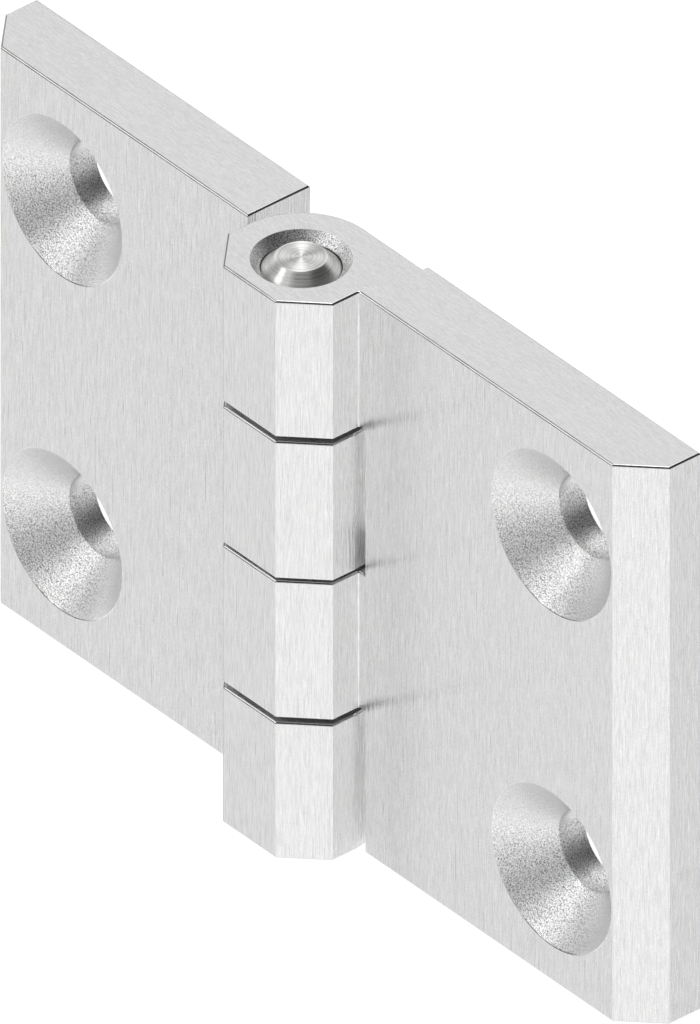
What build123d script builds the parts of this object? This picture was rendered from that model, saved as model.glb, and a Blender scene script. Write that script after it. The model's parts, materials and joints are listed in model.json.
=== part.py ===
from build123d import *

import os

# Screw-on leaf hinge: two equal thick leaves with bevelled outer ends, four interleaved knuckles on
# a 6 mm pin, two countersunk M6 holes in each leaf.
#
# Frame: X runs across the flat-open hinge, left leaf (frame side) to right leaf (door side).
# Y points back, towards the surfaces the leaves are screwed to. Z is up, along the pin.
# The origin is the centre of the flat-open hinge's box: X = 0 and Z = 0 on the pin, and the pin's
# axis 0.75 mm in front of the origin. All sizes are millimetres.

# ---- overall
HEIGHT = 50.0  # along the pin
HALF_WIDTH = 38.0  # pin axis to a leaf's outer end
LEAF_T = 6.0  # leaf thickness
END_BEVEL = 3.0  # 45 degree bevel on each leaf's outer end

# ---- knuckle profile, from the pin axis
KNUCKLE_HALF = 6.0  # half width, and the radius of the rounded back corner
KNUCKLE_FRONT = 5.0  # pin axis to the flat front
KNUCKLE_BEVEL = 3.0  # 45 degree bevels beside the flat front
LEAF_FRONT = 0.5  # pin axis to the leaf's front face
LEAF_BACK = LEAF_FRONT + LEAF_T  # pin axis to the mounting face
RELIEF_BACK = KNUCKLE_HALF  # pin axis to the relieved back, behind the knuckles
NOTCH_X = KNUCKLE_HALF + 0.75  # leaf's inner end, clear of the other leaf's knuckle
CORNER_R = 0.2  # inside corner between knuckle and leaf

PIN_Y = -(LEAF_BACK - KNUCKLE_FRONT) / 2  # puts the box centre on the origin

# ---- knuckle rows, top to bottom, as (top, bottom) heights, symmetrical about Z = 0
WIDE_GAP = 0.4  # between rows 1 and 2, and rows 3 and 4
NARROW_GAP = 0.2  # between rows 2 and 3
END_ROW_INNER = 12.8  # mid-height to the inner face of an end knuckle
ROW_1 = (HEIGHT / 2, END_ROW_INNER)
ROW_2 = (END_ROW_INNER - WIDE_GAP, NARROW_GAP / 2)
ROW_3 = (-ROW_2[1], -ROW_2[0])
ROW_4 = (-ROW_1[1], -ROW_1[0])
EDGE_BREAK = 0.1  # 45 degree break on the sawn and milled edges

# ---- screw holes, for M6 countersunk screws
SCREW_X = 28.0  # pin axis to hole
SCREW_PITCH = 30.0  # hole to hole along a leaf
SCREW_R = 3.3  # clearance hole
SINK_R = 6.85  # countersink at the front face
SINK_ANGLE = 90  # full angle of the screw countersinks and bore mouths
OVERCUT = 1.0  # how far a through cut runs past the far face

# ---- pin and its bores
PIN_R = 3.0
PIN_PROUD = 0.2  # each end stands out of the knuckle stack by this much
PIN_BEVEL = 1.05
MOUTH_R = 3.8  # mouth of the pin bore at both ends of the stack
FREE_R = PIN_R + 0.07  # bore that the pin passes freely
FREE_DEPTH = 2.2  # how far the free bore runs in from the top before the press bore

# ---- bushes and thrust washers
BUSH_BORE_R = PIN_R + 0.03
BUSH_R = 4.0
BUSH_L = 8.0
WASHER_BORE_R = PIN_R + 0.08
WASHER_R = 4.5
WASHER_T = 1.18
WASHER_PLAY = 0.02  # washer thickness and play together fill recess and gap
WIDE_RECESS = WASHER_T + WASHER_PLAY - WIDE_GAP
NARROW_RECESS = WASHER_T + WASHER_PLAY - NARROW_GAP
UPPER_SEAT = ROW_2[0] - WIDE_RECESS  # floor of the washer recess, top of the bush
LOWER_SEAT = ROW_4[0] - WIDE_RECESS


def level(z):
    """Horizontal plane at height z with its origin on the pin axis, facing up."""
    return Plane(origin=(0, PIN_Y, z))


def level_down(z):
    """The same plane facing down, for features cut upwards from a lower face."""
    return Plane(origin=(0, PIN_Y, z), x_dir=(1, 0, 0), z_dir=(0, 0, -1))


# ---------------------------------------------------------------- profiles, round the pin axis

# The plate of the right-hand leaf: a bar with its outer front corner bevelled.
with BuildSketch() as plate_profile:
    with BuildLine():
        Polyline(
            (NOTCH_X, LEAF_FRONT),
            (HALF_WIDTH - END_BEVEL, LEAF_FRONT),
            (HALF_WIDTH, LEAF_FRONT + END_BEVEL),
            (HALF_WIDTH, LEAF_BACK),
            (NOTCH_X, LEAF_BACK),
            close=True,
        )
    make_face()

# The knuckle of the right-hand leaf with its neck: bevelled front, flat sides, and the back
# corner away from the leaf rounded.
with BuildSketch() as knuckle_profile:
    with BuildLine():
        Polyline(
            (-KNUCKLE_HALF, 0),
            (-KNUCKLE_HALF, -KNUCKLE_FRONT + KNUCKLE_BEVEL),
            (-KNUCKLE_HALF + KNUCKLE_BEVEL, -KNUCKLE_FRONT),
            (KNUCKLE_HALF - KNUCKLE_BEVEL, -KNUCKLE_FRONT),
            (KNUCKLE_HALF, -KNUCKLE_FRONT + KNUCKLE_BEVEL),
            (KNUCKLE_HALF, LEAF_FRONT),
            (NOTCH_X, LEAF_FRONT),
            (NOTCH_X, RELIEF_BACK),
            (0, RELIEF_BACK),
        )
        CenterArc((0, 0), KNUCKLE_HALF, 90, 90)
    make_face()
    fillet(
        knuckle_profile.vertices().filter_by(
            lambda v: abs(v.X - KNUCKLE_HALF) < 1e-6 and abs(v.Y - LEAF_FRONT) < 1e-6
        ),
        radius=CORNER_R,
    )


def turned_over(profile):
    """A right-hand profile mirrored for the left-hand leaf."""
    with BuildSketch() as mirrored:
        add(mirror(profile.sketch, about=Plane.YZ, mode=Mode.PRIVATE))
    return mirrored


# ---------------------------------------------------------------- what both leaves share


def machined_edges(part):
    """Outer edges of the horizontal end faces, without the inside corners at the knuckle roots."""
    ends = part.faces().filter_by(Axis.Z)
    neck = RELIEF_BACK - LEAF_FRONT
    outer = ShapeList()
    for edge in ends.edges():
        inside_corner = (
            abs(abs(edge.center().X) - NOTCH_X) < 1e-4 and abs(edge.length - neck) < 1e-3
        )
        if not inside_corner and not any(edge.is_same(e) for e in outer):
            outer.append(edge)
    return outer


def leaf_blank(plate, knuckle, rows, screw_x):
    """Leaf with solid knuckles in the given rows, its edges broken and its screw holes cut."""
    with BuildPart() as blank:
        with BuildSketch(level(-HEIGHT / 2)):
            add(plate.sketch)
        extrude(amount=HEIGHT)
        for top, bottom in rows:
            with BuildSketch(level(bottom)):
                add(knuckle.sketch)
            extrude(amount=top - bottom)
        # the edges are broken before any hole is cut, so hole rims stay sharp
        chamfer(machined_edges(blank), length=EDGE_BREAK)
        front_face = Plane(
            origin=(screw_x, PIN_Y + LEAF_FRONT, 0), x_dir=(1, 0, 0), z_dir=(0, -1, 0)
        )
        with Locations(front_face):
            with GridLocations(1, SCREW_PITCH, 1, 2):
                CounterSinkHole(
                    SCREW_R, SINK_R, depth=LEAF_T + OVERCUT, counter_sink_angle=SINK_ANGLE
                )
    return blank.part


# ---------------------------------------------------------------- door leaf, right, rows 1 and 3
door_blank = leaf_blank(plate_profile, knuckle_profile, (ROW_1, ROW_3), SCREW_X)

with BuildPart() as door_leaf:
    add(door_blank)
    # press bore through both knuckles, with a free length and a mouth at the top
    with Locations(level(ROW_1[0])):
        Hole(PIN_R, depth=ROW_1[0] - ROW_3[1] + OVERCUT)
    with Locations(level(ROW_1[0])):
        CounterSinkHole(FREE_R, MOUTH_R, depth=FREE_DEPTH, counter_sink_angle=SINK_ANGLE)

# ---------------------------------------------------------------- frame leaf, left, rows 2 and 4
frame_blank = leaf_blank(
    turned_over(plate_profile), turned_over(knuckle_profile), (ROW_2, ROW_4), -SCREW_X
)

with BuildPart() as frame_leaf:
    add(frame_blank)
    # free bore for the pin through both knuckles, with a mouth at the bottom
    with Locations(level(ROW_2[0])):
        Hole(FREE_R, depth=ROW_2[0] - ROW_2[1] + NARROW_GAP)
    with Locations(level_down(ROW_4[1])):
        CounterSinkHole(
            FREE_R, MOUTH_R, depth=ROW_4[0] - ROW_4[1], counter_sink_angle=SINK_ANGLE
        )
    # bush seats, blind, each under its washer recess
    with Locations(level(UPPER_SEAT), level(LOWER_SEAT)):
        Hole(BUSH_R, depth=BUSH_L)
    # washer recesses: the top of each knuckle, then the underside of knuckle 2
    with Locations(level(ROW_2[0]), level(ROW_4[0])):
        Hole(WASHER_R, depth=WIDE_RECESS)
    with Locations(level_down(ROW_2[1])):
        Hole(WASHER_R, depth=NARROW_RECESS)

# ---------------------------------------------------------------- pin, pressed into the door leaf
with BuildPart() as hinge_pin:
    with BuildSketch(level(-HEIGHT / 2 - PIN_PROUD)):
        Circle(PIN_R)
    extrude(amount=HEIGHT + 2 * PIN_PROUD)
    chamfer(hinge_pin.edges().filter_by(GeomType.CIRCLE), length=PIN_BEVEL)


# ---------------------------------------------------------------- bushes and thrust washers
def ring(bottom, outer_radius, bore_radius, length):
    """Plain ring round the pin, standing on the height bottom."""
    with BuildPart() as body:
        with BuildSketch(level(bottom)):
            Circle(outer_radius)
            Circle(bore_radius, mode=Mode.SUBTRACT)
        extrude(amount=length)
    return body.part


def bush(top):
    """Sleeve bush in a frame leaf knuckle, hanging down from its seat's top."""
    return ring(top - BUSH_L, BUSH_R, BUSH_BORE_R, BUSH_L)


def thrust_washer(bottom):
    """Thrust washer, lying in a knuckle's recess and across the gap."""
    return ring(bottom, WASHER_R, WASHER_BORE_R, WASHER_T)


# ---------------------------------------------------------------- export
pieces = {
    "door_leaf": door_leaf.part,
    "frame_leaf": frame_leaf.part,
    "hinge_pin": hinge_pin.part,
    "upper_bush": bush(UPPER_SEAT),
    "lower_bush": bush(LOWER_SEAT),
    "top_thrust_washer": thrust_washer(UPPER_SEAT),
    # this one touches the roof of its recess, so the play is below it
    "middle_thrust_washer": thrust_washer(ROW_2[1] + NARROW_RECESS - WASHER_T),
    "bottom_thrust_washer": thrust_washer(LOWER_SEAT),
}

os.makedirs("parts", exist_ok=True)
for name, piece in pieces.items():
    piece.label = name
    export_step(piece, f"parts/{name}.step")
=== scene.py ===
import json
import math

import bmesh
import bpy
import numpy as np
from mathutils import Matrix, Vector, noise

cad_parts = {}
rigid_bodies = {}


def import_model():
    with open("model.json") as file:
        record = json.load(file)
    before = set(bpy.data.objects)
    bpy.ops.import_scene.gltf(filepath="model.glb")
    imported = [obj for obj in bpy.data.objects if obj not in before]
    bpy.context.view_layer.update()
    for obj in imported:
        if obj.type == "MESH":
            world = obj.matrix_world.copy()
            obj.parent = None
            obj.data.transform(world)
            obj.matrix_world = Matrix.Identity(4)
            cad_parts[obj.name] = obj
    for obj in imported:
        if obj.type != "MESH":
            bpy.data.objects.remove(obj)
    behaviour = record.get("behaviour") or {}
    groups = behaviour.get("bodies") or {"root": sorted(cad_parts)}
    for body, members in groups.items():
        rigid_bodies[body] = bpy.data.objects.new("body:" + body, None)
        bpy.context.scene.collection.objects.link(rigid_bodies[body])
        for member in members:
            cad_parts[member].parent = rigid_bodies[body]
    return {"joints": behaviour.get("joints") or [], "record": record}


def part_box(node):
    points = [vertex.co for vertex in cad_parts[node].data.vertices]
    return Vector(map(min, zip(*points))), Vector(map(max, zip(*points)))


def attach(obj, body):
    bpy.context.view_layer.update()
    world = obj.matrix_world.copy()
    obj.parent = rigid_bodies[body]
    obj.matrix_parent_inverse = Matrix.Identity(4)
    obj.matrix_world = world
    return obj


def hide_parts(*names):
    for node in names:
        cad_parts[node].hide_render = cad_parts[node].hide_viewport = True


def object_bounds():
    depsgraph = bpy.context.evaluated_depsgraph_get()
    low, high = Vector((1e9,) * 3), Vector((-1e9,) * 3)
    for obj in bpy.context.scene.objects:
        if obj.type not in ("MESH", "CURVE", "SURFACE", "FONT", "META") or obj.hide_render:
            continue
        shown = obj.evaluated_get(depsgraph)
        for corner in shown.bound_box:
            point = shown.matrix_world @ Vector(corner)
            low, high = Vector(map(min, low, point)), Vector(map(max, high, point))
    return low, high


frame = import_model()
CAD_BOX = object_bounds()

# ------------------------------------------------------------------ sizes, millimetres, round the pin axis
MM = 0.001
joint = frame["joints"][0]
PIN_X, PIN_Y = joint["pos_m"][0] / MM, joint["pos_m"][1] / MM
screws = next(m for m in frame["record"]["mounts"] if m["name"] == "door_leaf_screws")
door_lo, door_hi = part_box("door_leaf")
pin_lo, pin_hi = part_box("hinge_pin")

TOP = door_hi.z / MM
HALF_W = door_hi.x / MM - PIN_X
BACK = door_hi.y / MM - PIN_Y
KN_FRONT = PIN_Y - door_lo.y / MM
FRONT = 0.5
RELIEF = 6.0
NOTCH = 6.75
KN_HALF = 6.0
BEVEL = 3.0
CORNER = 0.14
BREAK = 0.12
SOFT = 0.045
BURNISH = 0.1
SCREW_X = screws["pos_m"][0] / MM
SCREW_Z = screws["dims"]["spacing_y_mm"] / 2
SCREW_R = screws["dims"]["hole_r_mm"]
SINK_R = 6.85
ROW_A = (TOP, 12.8)
ROW_B = (-0.1, -12.4)
PIN_R = (pin_hi.x - pin_lo.x) / 2 / MM
PIN_TOP = pin_hi.z / MM
PIN_BEVEL = 1.05
MOUTH_R = 3.8
FREE_R = 3.07

LONG, CROSS, BLAST, BORE, EDGE, ROW, MOUTH = range(7)  # material slots of a leaf


# ------------------------------------------------------------------ mesh helpers
class Shell:
    """Faces given by corner points; corners at the same point are one vertex."""

    def __init__(self):
        self.bm = bmesh.new()
        self.pool = {}

    def v(self, p):
        key = (round(p[0], 4), round(p[1], 4), round(p[2], 4))
        if key not in self.pool:
            self.pool[key] = self.bm.verts.new(p)
        return self.pool[key]

    def face(self, points, slot):
        verts = [self.v(p) for p in points]
        f = self.bm.faces.new(verts)
        f.material_index = slot
        return f


def arc(cx, cy, r, a0, a1, n):
    return [
        (cx + r * math.cos(math.radians(a0 + (a1 - a0) * i / n)), cy + r * math.sin(math.radians(a0 + (a1 - a0) * i / n)))
        for i in range(n + 1)
    ]


def ring_points(r, n):
    """n points round a circle, starting at +90 degrees and turning to -X first, so 90 and 270 are at 0 and n/2."""
    return [
        (r * math.cos(math.pi / 2 + 2 * math.pi * i / n), r * math.sin(math.pi / 2 + 2 * math.pi * i / n))
        for i in range(n)
    ]


def grid_rings(shell, rings, slots, n, close_first=False):
    """Quads between neighbouring rings of n points each."""
    for k in range(len(rings) - 1):
        a, b = rings[k], rings[k + 1]
        for i in range(n):
            j = (i + 1) % n
            shell.face([a[i], a[j], b[j], b[i]], slots[k])


def dense(profile, step):
    """Adds points to a (radius, height, slot) polyline so no span is longer than its own step."""
    out = [profile[0][:2]]
    slots = []
    for (r0, h0, _), (r1, h1, s) in zip(profile, profile[1:]):
        n = max(1, math.ceil(math.hypot(r1 - r0, h1 - h0) / step[s]))
        for i in range(1, n + 1):
            out.append((r0 + (r1 - r0) * i / n, h0 + (h1 - h0) * i / n))
            slots.append(s)
    return out, slots


def finish_mesh(name, bm, slots, place, body, node, smooth_angle=30.0):
    """Writes a millimetre bmesh round the pin axis as a piece in the row frame."""
    bmesh.ops.recalc_face_normals(bm, faces=bm.faces)
    bm.transform(place)
    bm.transform(Matrix.Scale(MM, 4) @ Matrix.Translation((PIN_X, PIN_Y, 0)))
    for fc in bm.faces:
        fc.smooth = True
    for ed in bm.edges:
        ed.smooth = len(ed.link_faces) == 2 and ed.calc_face_angle(0) < math.radians(smooth_angle)
        if ed.smooth and smooth_angle < 20:
            # edge breaks that turn a tight corner stay faceted, so the corner does not tint the long strip next to it
            turns = [fc.normal.to_2d() for fc in ed.link_faces if 0.05 < abs(fc.normal.z) < 0.95]
            if len(turns) == 2 and turns[0].angle(turns[1], 0.0) > math.radians(5):
                ed.smooth = False
    me = bpy.data.meshes.new(name)
    bm.to_mesh(me)
    bm.free()
    ob = bpy.data.objects.new(name, me)
    bpy.context.scene.collection.objects.link(ob)
    for s in slots:
        me.materials.append(s)
    w = ob.modifiers.new("weighted_normals", "WEIGHTED_NORMAL")
    w.mode = "FACE_AREA"
    w.weight = 100
    w.keep_sharp = True
    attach(ob, body)
    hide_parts(node)
    return ob


# ------------------------------------------------------------------ leaves
N_HOLE = 320
N_BORE = 192


def hole_rings(cx, cz):
    """Countersink and through hole of one screw: rings from the front face to the back face, blasted surface."""
    lip = 0.03
    cone_end = FRONT + (SINK_R - SCREW_R)
    profile = [
        (SINK_R + lip, FRONT, BLAST),
        (SINK_R + 0.2 * lip, FRONT + 0.3 * lip, EDGE),
        (SINK_R - lip, FRONT + lip, EDGE),
        (SCREW_R + 0.03, cone_end - 0.03, BLAST),
        (SCREW_R, cone_end + 0.03, BLAST),
        (SCREW_R, BACK - 0.03, BLAST),
        (SCREW_R + 0.008, BACK - 0.009, BLAST),
        (SCREW_R + 0.03, BACK, BLAST),
    ]
    pts, slots = dense(profile, {BLAST: 0.09, EDGE: 1.0})
    unit = ring_points(1.0, N_HOLE)
    rings = []
    for k, (r, y) in enumerate(pts):
        edge = min(abs(y - FRONT), abs(y - BACK))
        amp = 0.002 * min(1.0, max(0.0, (edge - 0.03) / 0.15))
        cone = 0.7 if y < cone_end else 0.0
        ring = []
        for ux, uz in unit:
            d = 0.0
            if amp > 0:
                q = Vector((cx + r * ux, y, cz + r * uz))
                d = amp * (noise.noise(q * 5.1) + 0.8 * noise.noise(q * 11.3 + Vector((7, 3, 1))))
            ring.append((cx + (r + d) * ux, y - cone * d, cz + (r + d) * uz))
        rings.append(ring)
    return rings, slots


def bore_rings(profile):
    unit = ring_points(1.0, N_BORE)
    rings, slots = [], []
    for k, (r, z, s) in enumerate(profile):
        ring = [(r * ux, r * uy, z) for ux, uy in unit]
        if k:
            r0, z0, _ = profile[k - 1]
            n = max(1, math.ceil(math.hypot(r - r0, z - z0) / (0.09 if s == MOUTH else 2.0)))
            for i in range(1, n):
                t = i / n
                rr, zz = r0 + (r - r0) * t, z0 + (z - z0) * t
                mid = []
                for ux, uy in unit:
                    d = 0.0
                    if s == MOUTH:
                        q = Vector((rr * ux, rr * uy, zz))
                        d = 0.0015 * (noise.noise(q * 5.1) + 0.8 * noise.noise(q * 11.3))
                    mid.append(((rr + d) * ux, (rr + d) * uy, zz - d))
                rings.append(mid)
                slots.append(s)
            slots.append(s)
        rings.append(ring)
    return rings, slots


def build_leaf(bore_a, bore_b, burnish_x):
    """A leaf in the door leaf's own attitude: knuckle rows A (at the top end) and B."""
    sh = Shell()
    a, b, c, d, e, f = (
        (NOTCH, FRONT), (HALF_W - BEVEL, FRONT), (HALF_W, FRONT + BEVEL), (HALF_W, BACK), (NOTCH, BACK), (NOTCH, RELIEF),
    )
    g = (0.0, RELIEF)
    back_arc = arc(0, 0, KN_HALF, 90, 180, 48)
    back_arc[0] = g
    back_arc[-1] = (-KN_HALF, 0.0)
    i_ = (-KN_HALF, -KN_FRONT + BEVEL)
    mid = (0.0, -KN_FRONT)
    l_ = (KN_HALF, -KN_FRONT + BEVEL)
    # the two front corners of a knuckle; the burnished one is an arc
    turn = BURNISH / math.tan(math.radians(22.5))
    j_s, k_s = [(-KN_HALF + BEVEL, -KN_FRONT)], [(KN_HALF - BEVEL, -KN_FRONT)]
    if burnish_x < 0:
        j_s = arc(burnish_x + BURNISH, -KN_FRONT + turn, turn, 225, 270, 4)
        j_s[-1] = (burnish_x + BURNISH, -KN_FRONT)
    else:
        k_s = arc(burnish_x - BURNISH, -KN_FRONT + turn, turn, 270, 315, 4)
        k_s[0] = (burnish_x - BURNISH, -KN_FRONT)
    root = arc(KN_HALF + CORNER, FRONT - CORNER, CORNER, 180, 90, 6)
    root[0] = (KN_HALF, FRONT - CORNER)
    root[-1] = (KN_HALF + CORNER, FRONT)
    sx = SCREW_X

    def p(q, z):
        return (q[0], q[1], z)

    # screw holes
    rim_f, rim_b = {}, {}
    for cz in (SCREW_Z, -SCREW_Z):
        rings, slots = hole_rings(sx, cz)
        grid_rings(sh, rings, slots, N_HOLE)
        rim_f[cz], rim_b[cz] = rings[0], rings[-1]
    h = N_HOLE // 2
    levels = (ROW_A[1], ROW_B[0], ROW_B[1])

    # front face: a strip beside the notch line, and two halves that meet on the screw line
    left = [(sx, FRONT, TOP)]
    left += rim_f[SCREW_Z][: h + 1]
    left += rim_f[-SCREW_Z][: h + 1]
    left += [(sx, FRONT, -TOP), (NOTCH, FRONT, -TOP)]
    left += [(NOTCH, FRONT, z) for z in reversed(levels)] + [(NOTCH, FRONT, TOP)]
    sh.face(left, LONG)
    right = [(sx, FRONT, TOP), p(b, TOP), p(b, -TOP), (sx, FRONT, -TOP)]
    right += [rim_f[-SCREW_Z][i % N_HOLE] for i in range(h, N_HOLE + 1)]
    right += [rim_f[SCREW_Z][i % N_HOLE] for i in range(h, N_HOLE + 1)]
    sh.face(right, LONG)
    # back face
    left = [(sx, BACK, TOP)]
    left += rim_b[SCREW_Z][: h + 1]
    left += rim_b[-SCREW_Z][: h + 1]
    left += [(sx, BACK, -TOP), p(e, -TOP), p(e, TOP)]
    sh.face(left, LONG)
    right = [(sx, BACK, TOP), p(d, TOP), p(d, -TOP), (sx, BACK, -TOP)]
    right += [rim_b[-SCREW_Z][i % N_HOLE] for i in range(h, N_HOLE + 1)]
    right += [rim_b[SCREW_Z][i % N_HOLE] for i in range(h, N_HOLE + 1)]
    sh.face(right, LONG)
    # outer end and its bevel
    sh.face([p(b, TOP), p(c, TOP), p(c, -TOP), p(b, -TOP)], LONG)
    sh.face([p(c, TOP), p(d, TOP), p(d, -TOP), p(c, -TOP)], LONG)
    # inner end, a comb: full depth beside the other leaf's knuckles, a narrow step beside its own
    comb = [
        p(a, ROW_A[1]), p(f, ROW_A[1]), p(f, TOP), p(e, TOP), p(e, -TOP), p(a, -TOP),
        p(a, ROW_B[1]), p(f, ROW_B[1]), p(f, ROW_B[0]), p(a, ROW_B[0]),
    ]
    sh.face(comb, LONG)
    # knuckles
    for (hi, lo), profile in ((ROW_A, bore_a), (ROW_B, bore_b)):
        def wall(q0, q1, slot=LONG):
            sh.face([p(q0, hi), p(q1, hi), p(q1, lo), p(q0, lo)], slot)
        for q0, q1 in zip(back_arc, back_arc[1:]):
            wall(q0, q1)
        wall(back_arc[-1], i_)
        wall(i_, j_s[0])
        for q0, q1 in list(zip(j_s, j_s[1:])) + list(zip(k_s, k_s[1:])):
            wall(q0, q1, EDGE)
        sh.face([p(j_s[-1], hi), p(mid, hi), p(k_s[0], hi), p(k_s[0], lo), p(mid, lo), p(j_s[-1], lo)], LONG)
        wall(k_s[-1], l_)
        wall(l_, root[0])
        for q0, q1 in zip(root, root[1:]):
            wall(q0, q1)
        wall(root[-1], a)
        wall(f, g)
        rings, slots = bore_rings(profile)
        grid_rings(sh, rings, slots, N_BORE)
        hb = N_BORE // 2
        for z, rim in ((hi, rings[0]), (lo, rings[-1])):
            slot = CROSS if z == TOP else ROW
            # left half: mid -> j -> i -> arc -> g, back along the bore's left side
            half = [p(mid, z)] + [p(q, z) for q in reversed(j_s)] + [p(i_, z)] + [p(q, z) for q in reversed(back_arc)]
            half += rim[: hb + 1]
            sh.face(half, slot)
            outline = [p(q, z) for q in k_s] + [p(l_, z)] + [p(q, z) for q in root]
            if z == TOP:
                outline += [p(a, z), (sx, FRONT, z), p(b, z), p(c, z), p(d, z), (sx, BACK, z), p(e, z), p(f, z)]
            else:
                outline += [p(a, z), p(f, z)]
            half = [p(mid, z)] + outline + [p(g, z)]
            half += [rim[i % N_BORE] for i in range(N_BORE, hb - 1, -1)]
            sh.face(half, slot)
    # the plate's lower end
    sh.face([p(a, -TOP), (sx, FRONT, -TOP), p(b, -TOP), p(c, -TOP), p(d, -TOP), (sx, BACK, -TOP), p(e, -TOP)], CROSS)

    bm = sh.bm
    bmesh.ops.recalc_face_normals(bm, faces=bm.faces)
    bm.normal_update()
    # sawn and milled ends get a 45 degree break, except the inside corners at the knuckle roots
    ends = [TOP, ROW_A[1], ROW_B[0], ROW_B[1], -TOP]
    chosen = []
    for ed in bm.edges:
        if len(ed.link_faces) != 2:
            continue
        z0, z1 = ed.verts[0].co.z, ed.verts[1].co.z
        if abs(z0 - z1) > 1e-6 or min(abs(z0 - z) for z in ends) > 1e-6:
            continue
        kinds = sorted(abs(fc.normal.z) for fc in ed.link_faces)
        if kinds[0] > 0.2 or kinds[1] < 0.9:
            continue
        if any(fc.material_index in (BLAST, BORE, MOUTH) for fc in ed.link_faces):
            continue
        if max(math.hypot(vt.co.x, vt.co.y) for vt in ed.verts) < 4.9:
            continue
        if all(abs(vt.co.x - NOTCH) < 1e-6 for vt in ed.verts) and abs(abs(ed.verts[0].co.y - ed.verts[1].co.y) - (RELIEF - FRONT)) < 1e-6:
            continue
        chosen.append(ed)
    cut = bmesh.ops.bevel(bm, geom=chosen, offset=BREAK, offset_type="OFFSET", segments=1, profile=0.5, affect="EDGES", clamp_overlap=False, material=-1)
    breaks = set(cut["faces"])
    for fc in breaks:
        fc.material_index = EDGE
    bm.normal_update()
    # fine rounding of the two corners of every edge break; the drawn edges along the bar stay crisp
    chosen = []
    for ed in bm.edges:
        if len(ed.link_faces) != 2 or ed.calc_length() < 1e-4 or ed.calc_face_angle(0) < math.radians(25):
            continue
        d = ed.verts[1].co - ed.verts[0].co
        if abs(d.z) > 0.9 * d.length or any(fc.material_index in (BLAST, BORE, MOUTH) for fc in ed.link_faces):
            continue
        if all(fc in breaks for fc in ed.link_faces):
            continue
        chosen.append(ed)
    soft = bmesh.ops.bevel(bm, geom=chosen, offset=SOFT, offset_type="OFFSET", segments=3, profile=0.5, affect="EDGES", clamp_overlap=False, material=-1)
    for fc in soft["faces"]:
        fc.material_index = EDGE
    bmesh.ops.dissolve_degenerate(bm, dist=1e-5, edges=bm.edges)
    return bm


# ------------------------------------------------------------------ materials
def nodes_of(name):
    mat = bpy.data.materials.new(name)
    mat.use_nodes = True
    nt = mat.node_tree
    nt.nodes.clear()
    out = nt.nodes.new("ShaderNodeOutputMaterial")
    bsdf = nt.nodes.new("ShaderNodeBsdfPrincipled")
    nt.links.new(bsdf.outputs[0], out.inputs[0])
    return mat, nt, bsdf


class Net:
    def __init__(self, nt):
        self.nt = nt
        self.coord = nt.nodes.new("ShaderNodeTexCoord").outputs["Object"]

    def mapped(self, scale, offset=(0, 0, 0)):
        m = self.nt.nodes.new("ShaderNodeMapping")
        m.inputs["Scale"].default_value = [s / MM for s in scale]
        m.inputs["Location"].default_value = offset
        self.nt.links.new(self.coord, m.inputs["Vector"])
        return m.outputs[0]

    def noise(self, vector, scale=1.0, detail=2.0, rough=0.5):
        n = self.nt.nodes.new("ShaderNodeTexNoise")
        n.inputs["Scale"].default_value = scale
        n.inputs["Detail"].default_value = detail
        n.inputs["Roughness"].default_value = rough
        self.nt.links.new(vector, n.inputs["Vector"])
        return n.outputs["Fac"]

    def white(self, vector):
        n = self.nt.nodes.new("ShaderNodeTexWhiteNoise")
        n.noise_dimensions = "3D"
        self.nt.links.new(vector, n.inputs["Vector"])
        return n.outputs["Value"]

    def math(self, op, a, b=0.0, c=None, clamp=False):
        n = self.nt.nodes.new("ShaderNodeMath")
        n.operation = op
        n.use_clamp = clamp
        for i, x in enumerate((a, b, c)):
            if x is None:
                continue
            if isinstance(x, (int, float)):
                n.inputs[i].default_value = x
            else:
                self.nt.links.new(x, n.inputs[i])
        return n.outputs[0]

    def span(self, value, lo, hi, to_lo, to_hi, smooth=False):
        n = self.nt.nodes.new("ShaderNodeMapRange")
        n.interpolation_type = "SMOOTHSTEP" if smooth else "LINEAR"
        n.clamp = True
        for k, x in zip(("From Min", "From Max", "To Min", "To Max"), (lo, hi, to_lo, to_hi)):
            n.inputs[k].default_value = x
        self.nt.links.new(value, n.inputs["Value"])
        return n.outputs["Result"]

    def tint(self, value, rgb):
        """A grey value times a colour."""
        n = self.nt.nodes.new("ShaderNodeVectorMath")
        n.operation = "SCALE"
        n.inputs[0].default_value = rgb
        self.nt.links.new(value, n.inputs["Scale"])
        return n.outputs[0]

    def bump(self, height, distance, strength=1.0, normal=None):
        n = self.nt.nodes.new("ShaderNodeBump")
        n.inputs["Distance"].default_value = distance
        if isinstance(strength, (int, float)):
            n.inputs["Strength"].default_value = strength
        else:
            self.nt.links.new(strength, n.inputs["Strength"])
        self.nt.links.new(height, n.inputs["Height"])
        if normal is not None:
            self.nt.links.new(normal, n.inputs["Normal"])
        return n.outputs[0]


STEEL = (0.785, 0.7845, 0.783)


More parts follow.
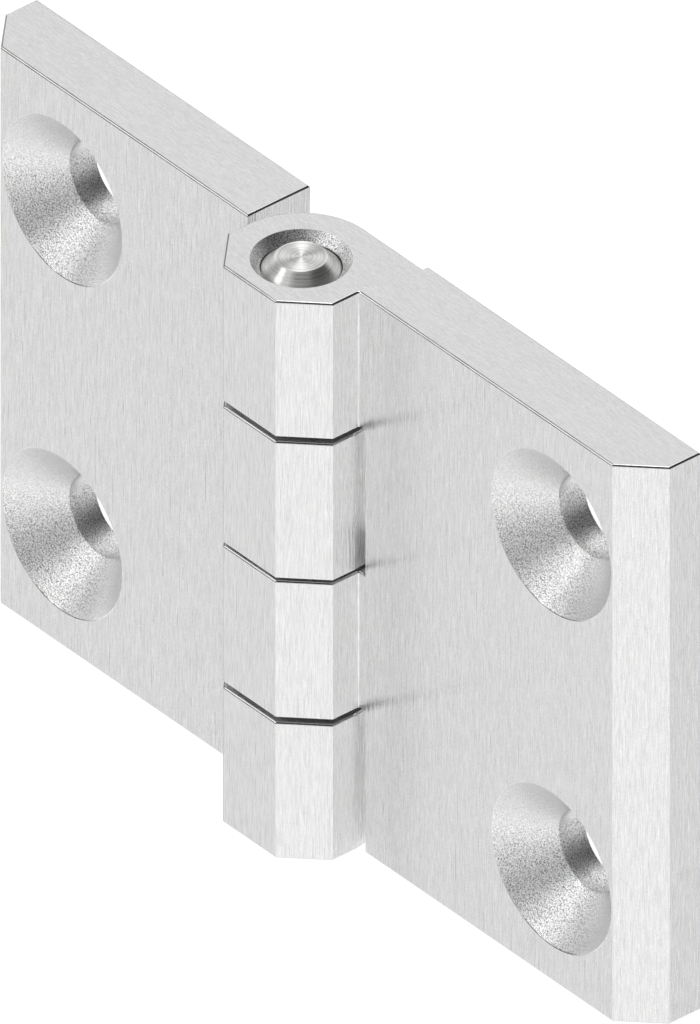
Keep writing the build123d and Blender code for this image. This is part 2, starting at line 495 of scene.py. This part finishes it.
def brushed(name, along, rough=0.29, level=1.0, contrast=1.0, aniso=0.9, grain=1.0, run=0.70, knuckle_shade=0.0, edge_shade=0.0):
    """Fine parallel grain along one axis: hair lines under a tenth of a millimetre wide, about a millimetre long."""
    mat, nt, bsdf = nodes_of(name)
    net = Net(nt)

    def hairs(cross, run, offset, detail):
        scale = [cross, cross, cross]
        scale[along] = run
        return net.noise(net.mapped(scale, offset), 1.0, detail, 0.5)

    fine = hairs(13.0, run, (0, 0, 0), 1.0)
    mid = hairs(5.0, 0.4 * run, (3.1, 7.7, 1.3), 1.0)
    wide = hairs(1.1, 0.09 * run, (9.1, 2.7, 5.3), 1.0)
    speck = net.noise(net.mapped((15.0, 15.0, 15.0), (1.7, 4.1, 8.3)), 1.0, 1.0, 0.5)
    mix = net.math("MULTIPLY", net.math("SUBTRACT", fine, 0.5), 0.50 * contrast)
    for source, weight in ((mid, 0.10), (wide, 0.015), (speck, 0.60)):
        mix = net.math("ADD", mix, net.math("MULTIPLY", net.math("SUBTRACT", source, 0.5), weight * contrast))
    if knuckle_shade:
        # painted shade: the plate beside the knuckles is darkened, most near them, fading towards the outer end
        sep = nt.nodes.new("ShaderNodeSeparateXYZ")
        nt.links.new(net.coord, sep.inputs[0])
        beside = net.math("GREATER_THAN", sep.outputs[0], (PIN_X + KN_HALF + 0.3) * MM)
        fade = net.span(sep.outputs[0], (PIN_X + 7) * MM, (PIN_X + HALF_W) * MM, -knuckle_shade, -0.25 * knuckle_shade)
        mix = net.math("ADD", mix, net.math("MULTIPLY", beside, fade))
        # painted reflection of the knuckles on the front face: a soft dark band a few millimetres out from the knuckle
        # root, and a thin painted highlight line along the knuckle side
        out = net.math("SUBTRACT", sep.outputs[0], (PIN_X + KN_HALF) * MM)
        band = net.math("ADD", net.span(out, 0.6 * MM, 3.8 * MM, 0.0, -0.085), net.span(out, 3.8 * MM, 8.2 * MM, 0.0, 0.085))
        side = net.math("MULTIPLY", net.math("LESS_THAN", net.math("ABSOLUTE", out), 0.05 * MM), 0.055)
        front = net.math("LESS_THAN", sep.outputs[1], (PIN_Y + FRONT + 0.3) * MM)
        mix = net.math("ADD", mix, net.math("MULTIPLY", net.math("ADD", band, side), front))
    value = net.math("ADD", mix, level)
    if edge_shade:
        # painted shade: the breaks over the slanted left corners and along the rear, which face away from the light,
        # are darkened by their normal direction
        lean = nt.nodes.new("ShaderNodeVectorMath")
        lean.operation = "DOT_PRODUCT"
        lean.inputs[1].default_value = (-0.5, -0.5, 0.7071)
        nt.links.new(net.coord.node.outputs["Normal"], lean.inputs[0])
        value = net.math("MULTIPLY", value, net.span(lean.outputs["Value"], 0.86, 0.90, 1.0, 1.0 - edge_shade))
        rear = nt.nodes.new("ShaderNodeVectorMath")
        rear.operation = "DOT_PRODUCT"
        rear.inputs[1].default_value = (-0.70, 0.59, 0.40)
        nt.links.new(net.coord.node.outputs["Normal"], rear.inputs[0])
        value = net.math("MULTIPLY", value, net.span(rear.outputs["Value"], 0.50, 0.58, 1.0, 1.0 - edge_shade))
    nt.links.new(net.tint(value, STEEL), bsdf.inputs["Base Color"])
    bsdf.inputs["Metallic"].default_value = 1.0
    nt.links.new(net.span(mid, 0.3, 0.7, rough - 0.03, rough + 0.03), bsdf.inputs["Roughness"])
    bsdf.inputs["Anisotropic"].default_value = aniso
    tan = nt.nodes.new("ShaderNodeTangent")
    tan.direction_type = "UV_MAP"
    tan.uv_map = "grain"
    nt.links.new(tan.outputs[0], bsdf.inputs["Tangent"])
    height = net.math("ADD", net.math("MULTIPLY", fine, 2.8), net.math("MULTIPLY", mid, 5.0))
    nt.links.new(net.bump(height, 0.010 * grain * MM), bsdf.inputs["Normal"])
    return mat


def blasted(name, size, rough, spark, bump, shade=1.0, light_facing=False):
    """Bead-blasted surfaces: a sandy, sparkling grain `size` grains to the millimetre."""
    mat, nt, bsdf = nodes_of(name)
    net = Net(nt)
    grit = net.noise(net.mapped((size, size, size)), 1.0, 1.0, 0.7)
    other = net.noise(net.mapped((size, size, size), (5.3, 2.9, 7.1)), 1.0, 1.0, 0.6)
    lit_sparkle = net.math("ADD", 1.0, 0.0)
    # painted glint: the sparkle in the colour and the grain's bump are full only on faces turned up and towards +X in
    # world space, where the light catches them, and damped on the others
    if light_facing:
        geo = nt.nodes.new("ShaderNodeNewGeometry")
        sep = nt.nodes.new("ShaderNodeSeparateXYZ")
        nt.links.new(geo.outputs["True Normal"], sep.inputs[0])
        lean = net.math("ADD", net.math("MULTIPLY", sep.outputs[2], 0.86), net.math("MULTIPLY", sep.outputs[0], 0.5))
        lit_sparkle = net.span(lean, 0.12, 0.72, 0.25, 1.0, True)
    value = net.math("ADD", net.math("MULTIPLY", net.math("SUBTRACT", other, 0.5), net.math("MULTIPLY", lit_sparkle, spark)), shade)
    nt.links.new(net.tint(value, STEEL), bsdf.inputs["Base Color"])
    bsdf.inputs["Metallic"].default_value = 1.0
    bsdf.inputs["Roughness"].default_value = rough
    nt.links.new(net.bump(grit, bump * MM, lit_sparkle), bsdf.inputs["Normal"])
    return mat


def turned(name, rough, aniso, rgb, rings_lo=0.58, rings_hi=1.30):
    """Turned stainless pin: fine concentric tool marks."""
    mat, nt, bsdf = nodes_of(name)
    net = Net(nt)
    sep = nt.nodes.new("ShaderNodeSeparateXYZ")
    nt.links.new(net.coord, sep.inputs[0])
    x = net.math("SUBTRACT", sep.outputs[0], PIN_X * MM)
    y = net.math("SUBTRACT", sep.outputs[1], PIN_Y * MM)
    r = net.math("SQRT", net.math("ADD", net.math("MULTIPLY", x, x), net.math("MULTIPLY", y, y)))

    def rings(scale, detail, offset):
        comb = nt.nodes.new("ShaderNodeCombineXYZ")
        nt.links.new(net.math("MULTIPLY", r, scale / MM), comb.inputs[0])
        nt.links.new(net.math("MULTIPLY_ADD", sep.outputs[2], 5.0 / MM, offset), comb.inputs[1])
        return net.noise(comb.outputs[0], 1.0, detail, 0.6)

    fine, broad = rings(9.0, 2.0, 0.0), rings(4.4, 1.0, 4.2)
    value = net.span(net.math("ADD", net.math("MULTIPLY", fine, 0.5), net.math("MULTIPLY", broad, 0.5)), 0.3, 0.7, rings_lo, rings_hi)
    nt.links.new(net.tint(value, rgb), bsdf.inputs["Base Color"])
    bsdf.inputs["Metallic"].default_value = 1.0
    nt.links.new(net.span(fine, 0.3, 0.7, rough - 0.03, rough + 0.02), bsdf.inputs["Roughness"])
    bsdf.inputs["Anisotropic"].default_value = aniso
    bsdf.inputs["Anisotropic Rotation"].default_value = 0.25
    tan = nt.nodes.new("ShaderNodeTangent")
    tan.direction_type = "RADIAL"
    tan.axis = "Z"
    nt.links.new(tan.outputs[0], bsdf.inputs["Tangent"])
    nt.links.new(net.bump(fine, 0.010 * MM), bsdf.inputs["Normal"])
    return mat


def moulded(name, rgb):
    mat, nt, bsdf = nodes_of(name)
    net = Net(nt)
    n = net.noise(net.mapped((6.0, 6.0, 6.0)), 1.0, 4.0, 0.6)
    nt.links.new(net.tint(net.span(n, 0.3, 0.7, 0.8, 1.2), rgb), bsdf.inputs["Base Color"])
    nt.links.new(net.span(n, 0.3, 0.7, 0.45, 0.6), bsdf.inputs["Roughness"])
    nt.links.new(net.bump(n, 0.01 * MM), bsdf.inputs["Normal"])
    return mat


# the along-pin steel carries painted shade, a painted reflection band and a painted highlight beside the knuckles
M_LONG = brushed("steel_brushed_along_pin", 2, contrast=0.85, knuckle_shade=0.015)
M_CROSS = brushed("steel_brushed_across", 0, rough=0.22, contrast=0.58, grain=0.12, run=1.5)
# the countersinks carry painted glints whose strength follows which way they face the light
M_BLAST = blasted("steel_blasted", 13.0, 0.36, 4.8, 0.028, 0.98, True)
M_MOUTH = blasted("steel_mouth", 12.5, 0.37, 4.1, 0.028, 0.95)
M_BORE = brushed("steel_bore", 2, rough=0.34, level=0.9)
# the edge breaks carry painted shade where they face away from the light
M_EDGE = brushed("steel_edge_break", 0, rough=0.13, aniso=0.3, contrast=0.3, grain=0.2, edge_shade=0.75)
M_ROW = brushed("steel_row_face", 0, rough=0.45, aniso=0.3, level=1.0, contrast=1.4)
M_PIN = turned("steel_turned", 0.36, 0.97, (0.79, 0.786, 0.776))
# painted shade: the pin's end bevel uses a darker copy of the turned steel
M_CONE = turned("steel_turned_cone", 0.29, 0.95, (0.70, 0.696, 0.686), 0.70, 1.20)
M_POM = moulded("bearing_plastic_black", (0.05, 0.05, 0.052))


def grain_uv(ob):
    """UV map whose U runs across the grain: the tangent the brushed materials use."""
    me = ob.data
    uv = me.uv_layers.new(name="grain")
    normals = np.empty(len(me.polygons) * 3)
    me.polygons.foreach_get("normal", normals)
    normals = normals.reshape(-1, 3)
    co = np.empty(len(me.vertices) * 3)
    me.vertices.foreach_get("co", co)
    co = co.reshape(-1, 3) * 1000
    loop_v = np.empty(len(me.loops), int)
    me.loops.foreach_get("vertex_index", loop_v)
    total = np.empty(len(me.polygons), int)
    me.polygons.foreach_get("loop_total", total)
    n = np.repeat(normals, total, axis=0)
    pnt = co[loop_v]
    flat = np.abs(n[:, 2]) > 0.8
    across = np.stack([-n[:, 1], n[:, 0], np.zeros(len(n))], 1)
    across /= np.maximum(np.linalg.norm(across, axis=1, keepdims=True), 1e-9)
    u = np.where(flat, pnt[:, 1], (pnt * across).sum(1))
    v = np.where(flat, pnt[:, 0], pnt[:, 2])
    uv.data.foreach_set("uv", np.stack([u, v], 1).astype(np.float32).ravel() * 0.05)


ALONG_Z = Matrix.Identity(4)
TURNED_OVER = Matrix.Rotation(math.pi, 4, "Y")

door = finish_mesh(
    "door_leaf_body",
    build_leaf(
        [(MOUTH_R, TOP, MOUTH), (FREE_R, TOP - (MOUTH_R - FREE_R), MOUTH), (FREE_R, TOP - 2.2, BORE), (PIN_R, TOP - 2.2, BORE), (PIN_R, ROW_A[1], BORE)],
        [(PIN_R, ROW_B[0], BORE), (PIN_R, ROW_B[1], BORE)],
        BEVEL - KN_HALF,
    ),
    [M_LONG, M_CROSS, M_BLAST, M_BORE, M_EDGE, M_ROW, M_MOUTH], ALONG_Z, "door_side", "door_leaf", 15.9,
)
grain_uv(door)
fixed = finish_mesh(
    "frame_leaf_body",
    build_leaf(
        [
            (MOUTH_R, TOP, MOUTH), (FREE_R, TOP - (MOUTH_R - FREE_R), MOUTH), (FREE_R, 21.6, BORE), (4.0, 21.6, BORE),
            (4.0, 13.6, BORE), (4.5, 13.6, BORE), (4.5, ROW_A[1], BORE),
        ],
        [
            (4.5, ROW_B[0], BORE), (4.5, -1.1, BORE), (FREE_R, -1.1, BORE), (FREE_R, -3.6, BORE), (4.0, -3.6, BORE),
            (4.0, -11.6, BORE), (4.5, -11.6, BORE), (4.5, ROW_B[1], BORE),
        ],
        KN_HALF - BEVEL,
    ),
    [M_LONG, M_CROSS, M_BLAST, M_BORE, M_EDGE, M_ROW, M_MOUTH], TURNED_OVER, "frame_side", "frame_leaf", 15.9,
)
grain_uv(fixed)


# ------------------------------------------------------------------ pin and bearings
def lathe(profile, n, closed=False):
    """Turns (radius, height) points about Z. A radius of 0 at either end makes a pole."""
    bm = bmesh.new()
    rings = []
    for r, z in profile:
        if r < 1e-9:
            rings.append([bm.verts.new((0, 0, z))])
        else:
            rings.append([bm.verts.new((r * math.cos(2 * math.pi * i / n), r * math.sin(2 * math.pi * i / n), z)) for i in range(n)])
    pairs = list(zip(rings, rings[1:])) + ([(rings[-1], rings[0])] if closed else [])
    for a, b in pairs:
        for i in range(n):
            j = (i + 1) % n
            quad = [a[i % len(a)], a[j % len(a)], b[j % len(b)], b[i % len(b)]]
            bm.faces.new(list(dict.fromkeys(quad)))
    return bm


def marks(r, seed=0.0):
    """Height of the turning marks at radius r, millimetres."""
    fade = 1.0 - 0.25 * min(r, 2.0)
    return fade * (0.0095 * math.sin(2 * math.pi * r / 0.25 + 0.9 * math.sin(4.0 * r + seed)) + 0.0035 * math.sin(2 * math.pi * r / 0.15 + seed))


def pin_profile():
    flat_r = PIN_R - PIN_BEVEL
    top = []
    for i in range(0, 84):
        r = flat_r * i / 84 * 0.985
        top.append((r, PIN_TOP + marks(r) - 0.014))
    top += [(flat_r - 0.022, PIN_TOP - 0.002), (flat_r - 0.006, PIN_TOP - 0.006), (flat_r + 0.010, PIN_TOP - 0.018)]
    for i in range(1, 56):
        t = i / 56
        r = flat_r + 0.01 + (PIN_BEVEL - 0.03) * t
        m = marks(r * 1.35, 1.7) * 0.25
        top.append((r + 0.7 * m, PIN_TOP - (r - flat_r) + 0.7 * m - 0.004))
    top += [(PIN_R - 0.008, PIN_TOP - PIN_BEVEL + 0.004), (PIN_R, PIN_TOP - PIN_BEVEL - 0.02)]
    top += [(PIN_R, z) for z in np.linspace(PIN_TOP - PIN_BEVEL - 1.0, 1.0, 12)]
    return top + [(r, -z) for r, z in reversed(top)]


pin_bm = lathe(pin_profile(), 288)
for fc in pin_bm.faces:
    where = fc.calc_center_median()
    if math.hypot(where.x, where.y) > PIN_R - PIN_BEVEL and abs(where.z) > PIN_TOP - PIN_BEVEL - 0.5:
        fc.material_index = 1
pin = finish_mesh("hinge_pin_turned", pin_bm, [M_PIN, M_CONE], ALONG_Z, "door_side", "hinge_pin", 60)


def bearing(node, name, chamfer):
    """A plain bush or washer from its CAD box: same bore, outside and height, with broken edges."""
    lo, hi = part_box(node)
    r1 = (hi.x - lo.x) / 2 / MM
    r0 = 3.03 if "bush" in node else 3.08
    z0, z1 = lo.z / MM, hi.z / MM
    k = chamfer
    prof = [
        (r0 + k, z0), (r1 - k, z0), (r1 - 0.3 * k, z0 + 0.3 * k), (r1, z0 + k), (r1, (z0 + z1) / 2), (r1, z1 - k),
        (r1 - 0.3 * k, z1 - 0.3 * k), (r1 - k, z1), (r0 + k, z1), (r0 + 0.3 * k, z1 - 0.3 * k), (r0, z1 - k),
        (r0, (z0 + z1) / 2), (r0, z0 + k), (r0 + 0.3 * k, z0 + 0.3 * k),
    ]
    ob = finish_mesh(name, lathe(prof, 160, closed=True), [M_POM], ALONG_Z, "frame_side", node)
    return ob


bearing("upper_bush", "upper_bush_sleeve", 0.15)
bearing("lower_bush", "lower_bush_sleeve", 0.15)
bearing("top_thrust_washer", "top_thrust_ring", 0.08)
bearing("middle_thrust_washer", "middle_thrust_ring", 0.08)
bearing("bottom_thrust_washer", "bottom_thrust_ring", 0.08)

# ------------------------------------------------------------------ floor, studio light
lo, hi = CAD_BOX
floor_me = bpy.data.meshes.new("floor")
fb = bmesh.new()
bmesh.ops.create_grid(fb, x_segments=2, y_segments=2, size=6.0)
fb.transform(Matrix.Translation((0, 0, lo.z - 0.0002)))
fb.to_mesh(floor_me)
fb.free()
floor = bpy.data.objects.new("floor", floor_me)
bpy.context.scene.collection.objects.link(floor)
mat, nt, bsdf = nodes_of("floor_white")
net = Net(nt)
nt.nodes.remove(bsdf)
emit = nt.nodes.new("ShaderNodeEmission")
emit.inputs["Color"].default_value = (1, 1, 1, 1)
emit.inputs["Strength"].default_value = 1.05
nt.links.new(emit.outputs[0], next(n for n in nt.nodes if n.type == "OUTPUT_MATERIAL").inputs[0])
floor_me.materials.append(mat)
floor.visible_glossy = False
floor.visible_diffuse = False
floor.visible_shadow = False

world = bpy.data.worlds.new("studio")
bpy.context.scene.world = world
world.use_nodes = True
wt = world.node_tree
wt.nodes.clear()
wout = wt.nodes.new("ShaderNodeOutputWorld")
bg = wt.nodes.new("ShaderNodeBackground")
wt.links.new(bg.outputs[0], wout.inputs[0])
wnet = Net(wt)
direction = wt.nodes["Texture Coordinate"].outputs["Generated"]


def lobe(d, inner, outer, gain):
    """gain inside `inner` degrees of direction d, fading smoothly to 0 at `outer` degrees."""
    d = Vector(d).normalized()
    dot = wt.nodes.new("ShaderNodeVectorMath")
    dot.operation = "DOT_PRODUCT"
    dot.inputs[1].default_value = d
    wt.links.new(direction, dot.inputs[0])
    return wnet.span(dot.outputs["Value"], math.cos(math.radians(outer)), math.cos(math.radians(inner)), 0.0, gain, True)


LOBES = (  # direction, inner and outer angle, gain on an even 0.93
    ((0.60, -0.55, -0.57), 0, 48, 0.09),
    ((0.72, -0.38, -0.57), 0, 26, 0.22),
    ((0.63, 0.53, -0.57), 8, 48, -0.21),
    ((-0.96, -0.02, -0.28), 2, 22, 0.44),
    ((-0.63, 0.78, 0.03), 5, 24, -0.60),
    ((-0.63, 0.53, -0.60), 6, 28, -0.70),
    ((-0.63, -0.57, 0.53), 2, 12, 0.22),
    ((-0.14, 0.81, -0.57), 0, 44, 0.70),
    ((-0.63, 0.53, 0.57), 0, 28, 0.075),
    ((-0.19, -0.96, -0.12), 2, 24, -0.50),
    ((-0.82, 0.02, -0.57), 2, 12, -0.80),
    ((-0.63, -0.77, -0.02), 8, 30, -0.85),
    ((-0.63, -0.03, 0.77), 8, 30, -0.95),
    ((0.60, 0.48, 0.64), 25, 50, -0.97),
    ((0.40, -0.42, 0.82), 8, 32, -0.76),
    ((-0.17, 0.07, 0.97), 4, 16, 2.40),
    ((-0.42, 0.35, 0.84), 2, 14, 1.60),
    ((-0.90, 0.15, 0.42), 5, 24, 0.25),
    ((-0.25, 0.87, 0.43), 5, 26, -0.20),
    ((0.35, -0.85, 0.40), 5, 35, -0.28),
    ((0.63, -0.77, -0.02), 4, 20, -0.30),
    ((0.60, -0.50, 0.62), 10, 28, -0.52),
    ((-0.86, -0.37, 0.35), 0, 20, -0.20),
)
level = wnet.math("ADD", 0.93, 0.0)
for args in LOBES:
    level = wnet.math("ADD", level, lobe(*args))
level = wnet.math("MAXIMUM", level, 0.04)
# a cluttered half of the studio, seen only in the countersinks and on the pin
clutter = wnet.noise(direction, 9.0, 1.0, 0.5)
mask = lobe((0.0, -0.85, 0.40), 34, 58, 1.0)
level = wnet.math("MULTIPLY", level, wnet.math("MULTIPLY_ADD", wnet.math("MULTIPLY", wnet.math("SUBTRACT", clutter, 0.5), 2.2), mask, 1.0))
level = wnet.math("MAXIMUM", level, 0.04)
level = wnet.math("ADD", level, lobe((-0.40, -0.77, 0.50), 8, 12, 3.1))
bg.inputs["Color"].default_value = (1, 1, 1, 1)
lp = wt.nodes.new("ShaderNodeLightPath")
seen = wnet.math("MULTIPLY", lp.outputs["Is Camera Ray"], 1.05)
rest = wnet.math("MULTIPLY", wnet.math("SUBTRACT", 1.0, lp.outputs["Is Camera Ray"]), level)
wt.links.new(wnet.math("ADD", seen, rest), bg.inputs["Strength"])

# ------------------------------------------------------------------ camera: parallel projection, 50 degrees round, 35 up
az, el = math.radians(50), math.radians(35)
back = Vector((math.sin(az) * math.cos(el), -math.cos(az) * math.cos(el), math.sin(el)))
right = Vector((math.cos(az), math.sin(az), 0))
up = back.cross(right)
target = Vector((PIN_X, PIN_Y, TOP)) * MM + right * 3.584 * MM - up * 18.647 * MM
cam_data = bpy.data.cameras.new("camera")
cam = bpy.data.objects.new("camera", cam_data)
bpy.context.scene.collection.objects.link(cam)
bpy.context.scene.camera = cam
cam_data.type = "ORTHO"
cam_data.ortho_scale = 0.07532
cam_data.clip_start, cam_data.clip_end = 0.01, 10.0
cam.location = target + back * 0.5
cam.rotation_mode = "QUATERNION"
cam.rotation_quaternion = (-back).to_track_quat("-Z", "Y")

# the width of the picture follows the camera: close in for the other angles, and wider when the door leaf has swung
drv = cam_data.driver_add("ortho_scale").driver
drv.type = "SCRIPTED"
for var_name, ob, channel in (("x", cam, "LOC_X"), ("y", cam, "LOC_Y"), ("z", cam, "LOC_Z"), ("r", bpy.data.objects["body:door_side"], "ROT_Z")):
    var = drv.variables.new()
    var.name = var_name
    var.type = "TRANSFORMS"
    var.targets[0].id = ob
    var.targets[0].transform_type = channel
    var.targets[0].transform_space = "WORLD_SPACE"
drv.expression = "(0.07532 if abs(r) < 0.01 else 0.118) if x*x+y*y+z*z > 0.16 else 0.7*sqrt(x*x+y*y+z*z)"

bpy.context.scene.view_settings.view_transform = "Standard"
